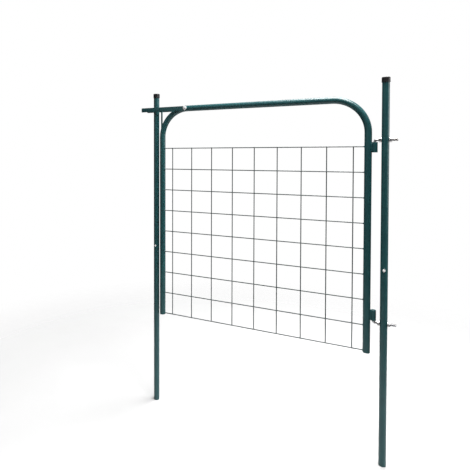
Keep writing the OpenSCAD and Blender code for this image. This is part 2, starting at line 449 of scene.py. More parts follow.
def rod_cutter(start: Vector, heading: Vector, radius: float, length: float) -> bpy.types.Object:
    """Makes a round bar for drilling a hole.

    Args:
        start: Centre of one end.
        heading: Direction of the bar.
        radius: Radius of the hole.
        length: Length of the bar.

    Returns:
        The bar as an object.
    """
    side = Z_AXIS if abs(heading.z) < 0.5 else Y_AXIS
    shape = Shape("cutter")
    shape.tube(Route(start, heading, side).straight(length), [(0.0, radius), (length, radius)], 48)
    return shape.piece()


def eased_bar(length: float, radius: float, ease: float) -> list[Station]:
    """Stations of a solid bar with eased ends.

    Args:
        length: Length of the bar.
        radius: Radius of the bar.
        ease: Width of the eased edge.

    Returns:
        Distance and radius of each ring.
    """
    return [(0.0, radius - ease), (ease, radius), (length - ease, radius), (length, radius - ease)]


def ring_profile(length: float, outer: float, bore: float, ease: float) -> list[Station]:
    """Stations of a ring or a straight tube with eased edges, for a closed loft.

    Args:
        length: Length along the axis.
        outer: Outer radius.
        bore: Radius of the hole.
        ease: Width of the eased edges.

    Returns:
        Distance and radius of each ring, out along the outside and back along the bore.
    """
    return [
        (0.0, outer - ease),
        (0.3 * ease, outer - 0.3 * ease),
        (ease, outer),
        (length - ease, outer),
        (length - 0.3 * ease, outer - 0.3 * ease),
        (length, outer - ease),
        (length, bore + ease / 2),
        (length - ease / 2, bore),
        (ease / 2, bore),
        (0.0, bore + ease / 2),
    ]


def dome_profile(radius: float, height: float, rim: float, steps: int = 9) -> list[Station]:
    """Stations of a round head, from its flat underside to the middle of its top.

    Args:
        radius: Radius of the head.
        height: Height of the head.
        rim: Height of the short upright rim under the dome.
        steps: Rings on the dome.

    Returns:
        Distance and radius of each ring.
    """
    rise = height - rim
    ball = (radius**2 + rise**2) / (2 * rise)
    reach = math.asin(radius / ball)
    stations = [(0.0, radius - rim / 3), (rim / 3, radius)]
    for k in range(steps):
        angle = reach * (1 - k / steps)
        stations.append((rim + ball * math.cos(angle) - (ball - rise), ball * math.sin(angle)))
    stations.append((height, 0.0))
    return stations


@dataclass(frozen=True)
class Thread:
    """A screw thread on a rod.

    Args:
        pitch: Distance between two turns.
        depth: Depth of the groove.
    """

    pitch: float
    depth: float

    def stations(self, start: float, end: float, radius: float) -> list[Station]:
        """Rings close enough together to carry the thread.

        Args:
            start: Where the thread starts along the route.
            end: Where it ends.
            radius: Radius over the crests.

        Returns:
            Distance and radius of each ring.
        """
        count = max(2, math.ceil((end - start) / self.pitch * 6))
        return [(start + (end - start) * k / count, radius) for k in range(count + 1)]

    def ripple(self, start: float, end: float) -> Ripple:
        """The thread's groove, which runs out softly at its start.

        Args:
            start: Where the thread starts along the route.
            end: Where it ends.

        Returns:
            Extra radius for a distance and an angle.
        """

        def groove(distance: float, angle: float) -> float:
            """Works out the groove at one point.

            Args:
                distance: Distance along the route.
                angle: Angle round the route.

            Returns:
                Extra radius, zero or negative.
            """
            if distance < start or distance > end:
                return 0.0
            phase = (distance / self.pitch - angle / (2 * math.pi)) % 1.0
            fade = min(1.0, (distance - start) / (2 * self.pitch))
            return -self.depth * fade * (1 - abs(2 * phase - 1))

        return groove


@dataclass(frozen=True)
class HeadedBolt:
    """A bolt with a domed head, made as one closed shell from the top of its head to its tip.

    Args:
        top: Middle of the head's top.
        head_radius: Radius of the head.
        head_height: Height of the head.
        rim: Height of the upright rim under the dome.
        radius: Radius of the shank.
        length: Length from the top of the head to the tip.
        thread: Thread at the far end.
        threaded: Length of the threaded part.
    """

    top: Vector
    head_radius: float
    head_height: float
    rim: float
    radius: float
    length: float
    thread: Thread
    threaded: float

    def build(self, name: str) -> bpy.types.Object:
        """Makes the bolt, which points to the back.

        Args:
            name: Name of the piece.

        Returns:
            The bolt, in place.
        """
        dome = dome_profile(self.head_radius, self.head_height, self.rim)
        start, stop = self.length - self.threaded, self.length - 0.8 * MM
        stations = [(self.head_height - s, r) for s, r in reversed(dome)]
        stations += [(self.head_height, self.radius), (start, self.radius)]
        stations += self.thread.stations(start, stop, self.radius)[1:] + [(self.length, 0.74 * self.radius)]
        shape = Shape(name)
        route = Route(self.top, Y_AXIS, Z_AXIS)
        shape.tube(route, stations, 48, ripple=self.thread.ripple(start, stop))
        return shape.piece()


@dataclass(frozen=True)
class Bead:
    """A row of weld ripples.

    Args:
        radius: Radius of the bead.
        pitch: Distance between two ripples.
        swell: How much the ripples stand out, as a share of the radius.
    """

    radius: float
    pitch: float
    swell: float = 0.14

    def lay(self, shape: Shape, route: Route, segments: int = 14) -> None:
        """Adds the bead to a shape along a route.

        Args:
            shape: The shape that gets the bead.
            route: The line of the weld.
            segments: Points round the bead.
        """
        count = max(8, math.ceil(route.length / self.pitch * 5))
        stations: list[Station] = [(0.0, 0.0)]
        for k in range(1, count):
            distance = route.length * k / count
            edge = min(distance, route.length - distance)
            taper = math.sqrt(min(1.0, edge / (1.4 * self.radius)))
            wave = abs(math.sin(math.pi * distance / self.pitch))
            stations.append((distance, self.radius * taper * (1 - self.swell + self.swell * wave)))
        stations.append((route.length, 0.0))
        shape.tube(route, stations, segments)


# ---------------------------------------------------------------------------
# Finishes
# ---------------------------------------------------------------------------


class Graph:
    """A material's nodes, with short calls to add and join them.

    Args:
        name: Name of the material.
    """

    def __init__(self, name: str) -> None:
        """Starts a material with Blender's usual surface shader.

        Args:
            name: Name of the material.
        """
        self.material = bpy.data.materials.new(name)
        self.material.use_nodes = True
        self.tree = self.material.node_tree
        self.shader = self.tree.nodes["Principled BSDF"]
        self.output = self.tree.nodes["Material Output"]
        self.place = self.add("ShaderNodeTexCoord").outputs["Object"]

    def add(self, kind: str, **settings: object) -> bpy.types.Node:
        """Adds a node.

        Args:
            kind: Blender's name of the node type.
            **settings: Values of the node's own properties.

        Returns:
            The new node.
        """
        node = self.tree.nodes.new(kind)
        for key, value in settings.items():
            setattr(node, key, value)
        return node

    def join(self, source: bpy.types.NodeSocket, target: bpy.types.NodeSocket) -> None:
        """Links two sockets."""
        self.tree.links.new(source, target)

    def noise(
        self, scale: float, detail: float = 3.0, rough: float = 0.55, stretch: Rgb = (1.0, 1.0, 1.0)
    ) -> bpy.types.NodeSocket:
        """Adds a noise in the piece's own coordinates.

        Args:
            scale: Patches per metre.
            detail: Octaves of finer noise.
            rough: Strength of the finer octaves.
            stretch: Extra scale along each axis.

        Returns:
            The noise, from 0 to 1.
        """
        mapping = self.add("ShaderNodeMapping")
        mapping.inputs["Scale"].default_value = stretch
        self.join(self.place, mapping.inputs["Vector"])
        node = self.add("ShaderNodeTexNoise")
        node.inputs["Scale"].default_value = scale
        node.inputs["Detail"].default_value = detail
        node.inputs["Roughness"].default_value = rough
        self.join(mapping.outputs["Vector"], node.inputs["Vector"])
        return node.outputs["Fac"]

    def spread(
        self, source: bpy.types.NodeSocket, low: float, high: float, at: tuple[float, float] = (0.3, 0.7)
    ) -> bpy.types.NodeSocket:
        """Maps a value to a range.

        Args:
            source: The value.
            low: Result at the lower end.
            high: Result at the upper end.
            at: The source's values at the two ends.

        Returns:
            The mapped value, kept within the range.
        """
        node = self.add("ShaderNodeMapRange")
        node.inputs["From Min"].default_value, node.inputs["From Max"].default_value = at
        node.inputs["To Min"].default_value, node.inputs["To Max"].default_value = low, high
        self.join(source, node.inputs["Value"])
        return node.outputs["Result"]

    def blend(
        self, factor: bpy.types.NodeSocket, first: Rgb | bpy.types.NodeSocket, second: Rgb
    ) -> bpy.types.NodeSocket:
        """Mixes two colours.

        Args:
            factor: 0 gives the first colour and 1 the second.
            first: A colour or a socket that carries one.
            second: The other colour.

        Returns:
            The mixed colour.
        """
        node = self.add("ShaderNodeMix", data_type="RGBA")
        self.join(factor, node.inputs["Factor"])
        if isinstance(first, tuple):
            node.inputs["A"].default_value = (*first, 1.0)
        else:
            self.join(first, node.inputs["A"])
        node.inputs["B"].default_value = (*second, 1.0)
        return node.outputs["Result"]

    def relief(self, layers: Sequence[tuple[bpy.types.NodeSocket, float]]) -> None:
        """Gives the surface a relief from one or more heights.

        Args:
            layers: A height from 0 to 1 and its real depth, coarse to fine.
        """
        previous = None
        for height, depth in layers:
            bump = self.add("ShaderNodeBump")
            bump.inputs["Distance"].default_value = depth
            bump.inputs["Strength"].default_value = 1.0
            self.join(height, bump.inputs["Height"])
            if previous is not None:
                self.join(previous, bump.inputs["Normal"])
            previous = bump.outputs["Normal"]
        self.join(previous, self.shader.inputs["Normal"])

    def edges(self) -> bpy.types.NodeSocket:
        """Finds the convex edges of a piece.

        Returns:
            0 on flat and hollow places, up to 1 along edges.
        """
        return self.spread(self.add("ShaderNodeNewGeometry").outputs["Pointiness"], 0.0, 1.0, (0.56, 0.68))


@dataclass(frozen=True)
class PowderCoat:
    """Satin powder coat with orange peel, soft mottling and thin edges.

    Args:
        name: Name of the material.
        colour: Main colour.
        shade: Colour of the darker clouds.
        edge: Colour where the coat is thin over an edge.
        peel: Waves of the orange peel per metre.
        peel_depth: Depth of those waves.
        gloss: Roughness of the smoothest and the roughest patches.
    """

    name: str
    colour: Rgb
    shade: Rgb
    edge: Rgb
    peel: float = 620.0
    peel_depth: float = 0.02 * MM
    gloss: tuple[float, float] = (0.27, 0.4)

    def build(self) -> bpy.types.Material:
        """Makes the material.

        Returns:
            The finished material.
        """
        g = Graph(self.name)
        clouds = g.spread(g.noise(11.0, 4.0), 0.0, 1.0)
        coat = g.blend(clouds, self.colour, self.shade)
        specks = g.spread(g.noise(2600.0, 1.0), 0.0, 0.2, (0.64, 0.8))
        coat = g.blend(specks, coat, self.edge)
        worn = g.add("ShaderNodeMath", operation="MULTIPLY")
        g.join(g.edges(), worn.inputs[0])
        g.join(g.spread(g.noise(140.0, 3.0), 0.0, 0.6, (0.42, 0.62)), worn.inputs[1])
        g.join(g.blend(worn.outputs["Value"], coat, self.edge), g.shader.inputs["Base Color"])
        g.join(g.spread(g.noise(45.0, 5.0), *self.gloss), g.shader.inputs["Roughness"])
        g.relief([(g.noise(60.0, 1.0), 0.06 * MM), (g.noise(self.peel, 2.0), self.peel_depth)])
        g.shader.inputs["Specular IOR Level"].default_value = 0.38
        return g.material


@dataclass(frozen=True)
class ZincPlate:
    """Bright zinc plate: fine grain, faint colour casts and dull patches.

    Args:
        name: Name of the material.
        cool: Colour of the bluish patches.
        warm: Colour of the straw-coloured patches.
        grime: Colour in the dull patches.
        metal: How bare the metal is, from 0 to 1.
    """

    name: str
    cool: Rgb
    warm: Rgb
    grime: Rgb
    metal: float

    def build(self) -> bpy.types.Material:
        """Makes the material.

        Returns:
            The finished material.
        """
        g = Graph(self.name)
        cast = g.blend(g.spread(g.noise(130.0, 3.0), 0.0, 1.0), self.cool, self.warm)
        dull = g.spread(g.noise(420.0, 5.0, 0.7), 0.0, 0.55, (0.55, 0.72))
        g.join(g.blend(dull, cast, self.grime), g.shader.inputs["Base Color"])
        g.join(g.spread(g.noise(900.0, 4.0), 0.27, 0.45), g.shader.inputs["Roughness"])
        scratches = g.noise(1500.0, 2.0, 0.6, (1.0, 1.0, 0.12))
        g.relief([(g.noise(700.0, 3.0), 0.015 * MM), (scratches, 0.008 * MM)])
        g.shader.inputs["Metallic"].default_value = self.metal
        return g.material


@dataclass(frozen=True)
class MouldedPlastic:
    """Black moulded plastic with a fine spark-eroded grain.

    Args:
        name: Name of the material.
        colour: Main colour.
        scuff: Colour of rubbed edges and scuffs.
    """

    name: str
    colour: Rgb
    scuff: Rgb

    def build(self) -> bpy.types.Material:
        """Makes the material.

        Returns:
            The finished material.
        """
        g = Graph(self.name)
        rubbed = g.add("ShaderNodeMath", operation="MAXIMUM")
        g.join(g.edges(), rubbed.inputs[0])
        g.join(g.spread(g.noise(320.0, 4.0, 0.7), 0.0, 0.5, (0.6, 0.75)), rubbed.inputs[1])
        g.join(g.blend(rubbed.outputs["Value"], self.colour, self.scuff), g.shader.inputs["Base Color"])
        g.join(g.spread(g.noise(240.0, 4.0), 0.42, 0.58), g.shader.inputs["Roughness"])
        cells = g.add("ShaderNodeTexVoronoi", feature="SMOOTH_F1")
        cells.inputs["Scale"].default_value = 1500.0
        g.join(g.place, cells.inputs["Vector"])
        g.relief([(g.noise(90.0, 2.0), 0.04 * MM), (cells.outputs["Distance"], 0.02 * MM)])
        g.shader.inputs["Specular IOR Level"].default_value = 0.35
        return g.material


@dataclass(frozen=True)
class PaleFloor:
    """A pale studio floor that fades into the background.

    Args:
        name: Name of the material.
        colour: Colour of the floor.
        solid: Radius within which the floor is solid.
        gone: Radius where it has faded away.
        centre: Middle of the round floor.
    """

    name: str
    colour: Rgb
    solid: float
    gone: float
    centre: tuple[float, float]

    def build(self) -> bpy.types.Material:
        """Makes the material.

        Returns:
            The finished material.
        """
        g = Graph(self.name)
        tint = tuple(c * 0.97 for c in self.colour)
        clouds = g.spread(g.noise(1.5, 3.0), 0.0, 1.0)
        g.join(g.blend(clouds, self.colour, tint), g.shader.inputs["Base Color"])
        g.join(g.spread(g.noise(5.0, 3.0), 0.6, 0.75), g.shader.inputs["Roughness"])
        away = g.add("ShaderNodeVectorMath", operation="DISTANCE")
        g.join(g.place, away.inputs[0])
        away.inputs[1].default_value = (*self.centre, 0.0)
        fade = g.add("ShaderNodeMapRange", interpolation_type="SMOOTHSTEP")
        fade.inputs["From Min"].default_value = self.solid
        fade.inputs["From Max"].default_value = self.gone
        g.join(away.outputs["Value"], fade.inputs["Value"])
        clear = g.add("ShaderNodeBsdfTransparent")
        mix = g.add("ShaderNodeMixShader")
        g.join(fade.outputs["Result"], mix.inputs["Fac"])
        g.join(g.shader.outputs["BSDF"], mix.inputs[1])
        g.join(clear.outputs["BSDF"], mix.inputs[2])
        g.join(mix.outputs["Shader"], g.output.inputs["Surface"])
        return g.material


class Finish(Enum):
    """The finishes of the gate, each with the material slot that it belongs to."""

    PAINT = ("paint", "green_paint")
    WIRE_PAINT = ("wire paint", "mesh_paint")
    # The two zinc finishes are lit and shaded copies of one zinc: a near-white, part-metallic one whose
    # screw heads shine as painted glint, and a darkened one on the hooks that is partly duller galvanising
    # and partly painted shade.
    ZINC_WITH_PAINTED_GLINT = ("bright zinc", "zinc")
    GALVANISED_ZINC_WITH_PAINTED_SHADE = ("galvanised zinc with painted shade", "zinc")
    PLASTIC = ("plastic", "black_plastic")

    @property
    def slot(self) -> str:
        """Name of the material slot."""
        return self.value[1]


class Finishes:
    """The materials of the gate, built once and shared by its pieces."""

    def __init__(self) -> None:
        """Builds every finish once."""
        self._built = {
            Finish.PAINT: PowderCoat(
                "teal_powder_coat",
                colour=(0.013, 0.070, 0.073),
                shade=(0.010, 0.056, 0.062),
                edge=(0.04, 0.15, 0.15),
            ).build(),
            Finish.WIRE_PAINT: PowderCoat(
                "wire_powder_coat",
                colour=(0.013, 0.029, 0.028),
                shade=(0.010, 0.022, 0.022),
                edge=(0.05, 0.10, 0.10),
                peel=900.0,
                peel_depth=0.015 * MM,
                gloss=(0.3, 0.45),
            ).build(),
            # Zinc of the screws, pivot bolt, nut and spacers: a near-white base on a part-metallic surface
            # makes them glow as bright dots under any light, a painted glint.
            Finish.ZINC_WITH_PAINTED_GLINT: ZincPlate(
                "zinc_plate_with_painted_glint",
                cool=(0.86, 0.88, 0.90),
                warm=(0.90, 0.89, 0.86),
                grime=(0.50, 0.50, 0.50),
                metal=0.6,
            ).build(),
            # Zinc of the hook bolts, nuts and washers: partly the duller look of galvanising, partly
            # painted shade, its base darkened so that the rods read dark.
            Finish.GALVANISED_ZINC_WITH_PAINTED_SHADE: ZincPlate(
                "galvanised_zinc_with_painted_shade",
                cool=(0.40, 0.42, 0.45),
                warm=(0.48, 0.45, 0.43),
                grime=(0.22, 0.21, 0.21),
                metal=0.95,
            ).build(),
            Finish.PLASTIC: MouldedPlastic(
                "black_moulded_plastic",
                colour=(0.005, 0.005, 0.006),
                scuff=(0.02, 0.019, 0.021),
            ).build(),
        }

    def dress(self, piece: bpy.types.Object, finish: Finish) -> None:
        """Gives a piece a finish as its only material.

        Args:
            piece: The piece.
            finish: Its finish.
        """
        piece.data.materials.clear()
        piece.data.materials.append(self._built[finish])


# ---------------------------------------------------------------------------
# The gate
# ---------------------------------------------------------------------------


@dataclass
class Assembly:
    """What every sub-assembly shares: its body, its finishes and the way a piece is handed over.

    Args:
        finishes: The finishes of the gate.
        body: The body that its pieces ride on, set by each sub-assembly.
    """

    finishes: Finishes
    body: Body = field(init=False, default=Body.POSTS)

    def fit(self, piece: bpy.types.Object, finish: Finish, *nodes: str) -> bpy.types.Object:
        """Dresses a piece, lets it ride on its body and puts it in place of frame nodes.

        Args:
            piece: The finished piece.
            finish: Its finish.
            *nodes: Nodes of the frame that it stands for.

        Returns:
            The same piece.
        """
        self.finishes.dress(piece, finish)
        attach(piece, self.body.value)
        if nodes:
            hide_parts(*nodes)
        LOG.info("%-26s %-12s %6d faces", piece.name, finish.value[0], len(piece.data.polygons))
        return piece


@dataclass
class Post(Assembly):
    """One post: two tubes joined by a neck and a cross screw, with a cap on top and a plug below.

    Args:
        side: Which end of the gate the post stands at.
        wall: Wall of the tubes.
        ease: Rounding of the tubes' cut ends.
        screw_thread: Thread of the joint screw.
    """

    side: Side = Side.LATCH
    wall: float = 1.5 * MM
    ease: float = 0.45 * MM
    screw_thread: Thread = Thread(1.0 * MM, 0.45 * MM)

    def __post_init__(self) -> None:
        """Reads the post's places from the frame."""
        self.body = Body.POSTS
        self.tag = f"{self.side.name.lower()}_post"
        self.lower = Box(f"{self.tag}_lower")
        self.upper = Box(f"{self.tag}_upper")
        self.cap = Box(f"{self.tag}_cap")
        self.plug = Box(f"{self.tag}_plug")
        self.screw = Box(f"{self.tag}_screw")
        self.nut = Box(f"{self.tag}_nut")
        self.x = self.lower.centre.x
        self.radius = self.lower.size.x / 2
        self.bore = self.radius - self.wall
        self.joint = self.upper.low.z

    def build(self) -> None:
        """Makes every piece of the post."""
        self._tubes()
        self._cap()
        self._plug()
        self._screw()

    def _foot(self, z: float) -> Route:
        """A route up the post's axis from a height."""
        return Route(Vector((self.x, 0, z)), Z_AXIS)

    def _holes(self, low: float, high: float) -> list[bpy.types.Object]:
        """Makes the cutters for the screw and hook holes between two heights.

        Args:
            low: Lowest height.
            high: Greatest height.

        Returns:
            One bar for each hole.
        """
        reach = 2 * self.radius
        play = 0.3 * MM
        z = self.screw.centre.z
        cutters = []
        if low < z < high:
            radius = self._shank() + play
            cutters.append(rod_cutter(Vector((self.x, -reach, z)), Y_AXIS, radius, 2 * reach))
        if self.side is Side.HINGE:
            for hook in HookSide:
                rod = HookBolt.rod_line(hook)
                if low < rod.z < high:
                    radius = HookBolt.rod_radius(hook) + play
                    start = Vector((self.x - reach, 0, rod.z))
                    cutters.append(rod_cutter(start, X_AXIS, radius, 2 * reach))
        return cutters

    def _tubes(self) -> None:
        """The lower tube with its swaged neck, and the plain upper tube."""
        neck = self.bore - 0.1 * MM
        inside = neck - self.wall
        top = self.lower.high.z
        taper = 8 * MM
        lead = 1.2 * MM
        stations = [
            (0.0, self.radius - self.ease),
            (0.3 * self.ease, self.radius - 0.3 * self.ease),
            (self.ease, self.radius),
            (self.joint - 1.6 * self.ease, self.radius),
            (self.joint - 0.7 * self.ease, self.radius - 0.35 * self.ease),
            (self.joint, self.radius - 1.2 * self.ease),
            (self.joint, neck),
            (top - lead, neck),
            (top, neck - lead / 2),
            (top, inside),
            (self.joint - self.wall, inside),
            (self.joint - self.wall - taper, self.bore),
            (self.ease, self.bore),
            (0.0, self.bore + self.ease / 2),
        ]
        shape = Shape(f"{self.tag}_lower_tube")
        shape.tube(self._foot(0.0), stations, 56, closed=True)
        tube = shape.piece(30)
        drill(tube, self._holes(0.0, top), 30)
        self.fit(tube, Finish.PAINT, f"{self.tag}_lower")

        shape = Shape(f"{self.tag}_upper_tube")
        length = self.upper.size.z
        profile = ring_profile(length, self.radius, self.bore, self.ease)
        shape.tube(self._foot(self.joint), profile, 56, closed=True)
        tube = shape.piece(30)
        drill(tube, self._holes(self.joint, self.upper.high.z), 30)
        self.fit(tube, Finish.PAINT, f"{self.tag}_upper")

    def _cap(self) -> None:
        """The plastic cap: a cup with a soft shoulder, a low crown and a thin lip."""
        outer = self.cap.size.x / 2
        height = self.cap.size.z
        seat = self.upper.high.z - self.cap.low.z
        shoulder = 2.6 * MM
        crown = 0.5 * MM
        lip = 0.5 * MM
        grip = 0.25 * MM
        stations = [(0.0, self.radius + lip / 2), (0.0, outer - lip)]
        stations += [(0.2 * lip, outer - 0.3 * lip), (lip, outer)]
        stations += [(3 * MM, outer), (3.4 * MM, outer - grip), (height - crown - shoulder, outer - grip)]
        for k in range(1, 8):
            angle = math.pi / 2 * k / 7
            drop = shoulder * (1 - math.sin(angle))
            stations.append((height - crown - drop, outer - grip - shoulder * (1 - math.cos(angle))))
        flat = outer - grip - shoulder
        for share in (0.75, 0.5, 0.25):
            stations.append((height - crown * share**2, flat * share))
        gate = 1.5 * MM
        stations += [(height - 0.05 * MM, gate), (height - 0.35 * MM, gate * 0.9), (height - 0.3 * MM, 0.0)]
        stations.reverse()
        inner = [(seat, 0.0), (seat, self.radius - 0.3 * MM), (seat - 0.3 * MM, self.radius)]
        inner += [(lip, self.radius)]
        shape = Shape(f"{self.tag}_end_cap")
        shape.tube(self._foot(self.cap.low.z), stations + inner[::-1], 64)
        self.fit(shape.piece(32), Finish.PLASTIC, f"{self.tag}_cap")

    def _plug(self) -> None:
        """The plug in the foot: a cup with a dished face and eased edges."""
        made = foot_plug(f"{self.tag}_foot_plug", self.plug)
        self.fit(made, Finish.PLASTIC, f"{self.tag}_plug")

    def _shank(self) -> float:
        """Radius of the joint screw's shank, from its nut's height."""
        return self.nut.size.y / 0.8 / 2

    def _screw(self) -> None:
        """The joint screw with a cross recess, and its nut."""
        z = self.screw.centre.z
        radius = self._shank()
        head = self.screw.size.x / 2
        top = Vector((self.x, self.screw.low.y, z))
        height = -self.radius - self.screw.low.y
        length = self.screw.size.y
        rim, threaded = 0.35 * height, 0.35 * length
        bolt = HeadedBolt(top, head, height, rim, radius, length, self.screw_thread, threaded)
        made = bolt.build(f"{self.tag}_joint_screw")
        drill(made, [self._recess(top, head)])
        self.fit(made, Finish.ZINC_WITH_PAINTED_GLINT, f"{self.tag}_screw")

        shape = Shape(f"{self.tag}_joint_nut")
        base = Vector((self.x, self.radius, z))
        shape.hexagon(base, Y_AXIS, self.nut.size.z, radius, self.nut.size.y)
        self.fit(shape.piece(), Finish.ZINC_WITH_PAINTED_GLINT, f"{self.tag}_nut")

    def _recess(self, top: Vector, head: float) -> bpy.types.Object:
        """Makes a tapered cross that cuts the driver recess into the screw's head.

        The outline is one loop that goes round the cross once. A loop that crosses itself
        would make the cut take the whole head away.

        Args:
            top: Middle of the head's top.
            head: Radius of the head.

        Returns:
            The cutter, in place.
        """
        shape = Shape("cutter")
        arm, slot, depth = 0.52 * head, 0.13 * head, 0.34 * head
        taper = 0.55
        outline = []
        for quarter in range(4):
            turn = Matrix.Rotation(-math.pi / 2 * quarter, 3, Y_AXIS)
            corners = (Vector((slot, 0, slot)), Vector((slot, 0, arm)), Vector((-slot, 0, arm)))
            outline += [turn @ corner for corner in corners]
        above = [top - Y_AXIS * MM + point for point in outline]
        below = [top + Y_AXIS * depth + point * taper for point in outline]
        shape.loft([above, below])
        return shape.piece()


def foot_plug(name: str, box: Box) -> bpy.types.Object:
    """Makes the plug of a tube's foot.

    Args:
        name: Name of the piece.
        box: The plug's box in the frame.

    Returns:
        The plug, in place.
    """
    outer = box.size.x / 2
    depth = box.size.z
    wall = 2 * MM
    dish = 0.35 * MM
    fins = (0.35, 0.6, 0.85)
    stations = [(dish, 0.0), (dish, outer - 3 * MM), (0.0, outer - 2.2 * MM), (0.0, outer - 0.4 * MM)]
    stations += [(0.12 * MM, outer - 0.12 * MM), (0.4 * MM, outer)]
    for share in fins:
        z = depth * share
        groove = outer - 0.5 * MM
        stations += [(z - 1.4 * MM, groove), (z - 0.4 * MM, outer), (z, outer), (z + 0.1 * MM, groove)]
    stations += [(depth - 0.6 * MM, outer - 0.6 * MM), (depth, outer - 0.9 * MM), (depth, outer - wall)]
    stations += [(wall + 0.6 * MM, outer - wall), (wall, outer - wall - 0.6 * MM), (wall, 0.0)]
    shape = Shape(name)
    shape.tube(Route(Vector((box.centre.x, 0, box.low.z)), Z_AXIS), stations, 48)
    return shape.piece(30)


class HookSide(Enum):
    """The two hook bolts, with the direction in which each pin points."""

    LOWER = 1
    UPPER = -1


@dataclass
class HookBolt(Assembly):
    """An L-shaped hook bolt with its nuts and washers.

    Args:
        which: The lower or the upper hook.
        bend: Radius of the corner on the rod's centre line.
        thread: Thread of the rod.
    """

    which: HookSide = HookSide.LOWER
    bend: float = 7 * MM
    thread: Thread = Thread(1.5 * MM, 0.8 * MM)

    def __post_init__(self) -> None:
        """Reads the hook's places from the frame."""
        self.body = Body.POSTS
        self.tag = f"{self.which.name.lower()}_hook"
        self.box = Box(self.tag)
        self.radius = self.rod_radius(self.which)
        self.line = self.rod_line(self.which)
        self.up = self.which.value

    @staticmethod
    def rod_radius(which: HookSide) -> float:
        """Radius of the hook's rod."""
        return Box(f"{which.name.lower()}_hook").size.y / 2

    @staticmethod
    def rod_line(which: HookSide) -> Vector:
        """Finds the corner where the lines of a hook's pin and rod meet.

        Args:
            which: The lower or the upper hook.

        Returns:
            The corner, in the frame.
        """
        box = Box(f"{which.name.lower()}_hook")
        radius = box.size.y / 2
        z = box.low.z + radius if which is HookSide.LOWER else box.high.z - radius
        return Vector((box.low.x + radius, 0, z))

    def build(self) -> None:
        """Makes the hook, its nuts and its washers."""
        self._hook()
        for place in ("inner", "outer"):
            self._nut(place)
        self._washers()

    def _hook(self) -> None:
        """The bent rod: a chamfered pin, a tight corner and a threaded end."""
        pin = self.box.size.z - self.radius
        rod = self.box.high.x - self.line.x
        tip = self.line + Z_AXIS * (self.up * pin)
        route = Route(tip, Z_AXIS * -self.up).straight(pin - self.bend)
        route.bend(self.bend, -self.up * math.pi / 2).straight(rod - self.bend)
        inner = Box(f"{self.tag}_inner_nut")
        chamfer = 1.2 * MM
        start = route.length - (self.box.high.x - inner.low.x) - 4 * MM
        end = route.length - chamfer
        r = self.radius
        stations = [(0.0, r - 1.5 * chamfer), (0.5 * chamfer, r - 0.6 * chamfer), (1.4 * chamfer, r)]
        stations += [(s, r) for s in route.stops(math.radians(9)) if 1.5 * chamfer < s < start - MM]
        stations += self.thread.stations(start, end, r) + [(route.length, r - 1.3 * chamfer)]
        shape = Shape(f"{self.tag}_bolt")
        shape.tube(route, stations, 32, ripple=self.thread.ripple(start, end))
        self.fit(shape.piece(50), Finish.GALVANISED_ZINC_WITH_PAINTED_SHADE, self.tag)

    def _nut(self, place: str) -> None:
        """Makes one of the two nuts that clamp the hook to the post.

        Args:
            place: Which nut, "inner" or "outer".
        """
        node = f"{self.tag}_{place}_nut"
        box = Box(node)
        shape = Shape(f"{self.tag}_{place}_hex")
        base = Vector((box.low.x, 0, box.centre.z))
        width = min(box.size.y, box.size.z)
        shape.hexagon(base, X_AXIS, width, self.radius, box.size.x)
        self.fit(shape.piece(), Finish.GALVANISED_ZINC_WITH_PAINTED_SHADE, node)

    def _washers(self) -> None:
        """The two washers, one on each side of the post, with stamped edges."""
        node = f"{self.tag}_washers"
        box = Box(node)
        post = Box("hinge_post_upper")
        shape = Shape(f"{self.tag}_washer_pair")
        thickness = post.low.x - box.low.x
        profile = ring_profile(thickness, box.size.z / 2, self.radius + 0.1 * MM, 0.35 * MM)
        for x in (box.low.x, post.high.x):
            route = Route(Vector((x, 0, box.centre.z)), X_AXIS)
            shape.tube(route, profile, 48, closed=True)
        self.fit(shape.piece(30), Finish.GALVANISED_ZINC_WITH_PAINTED_SHADE, node)


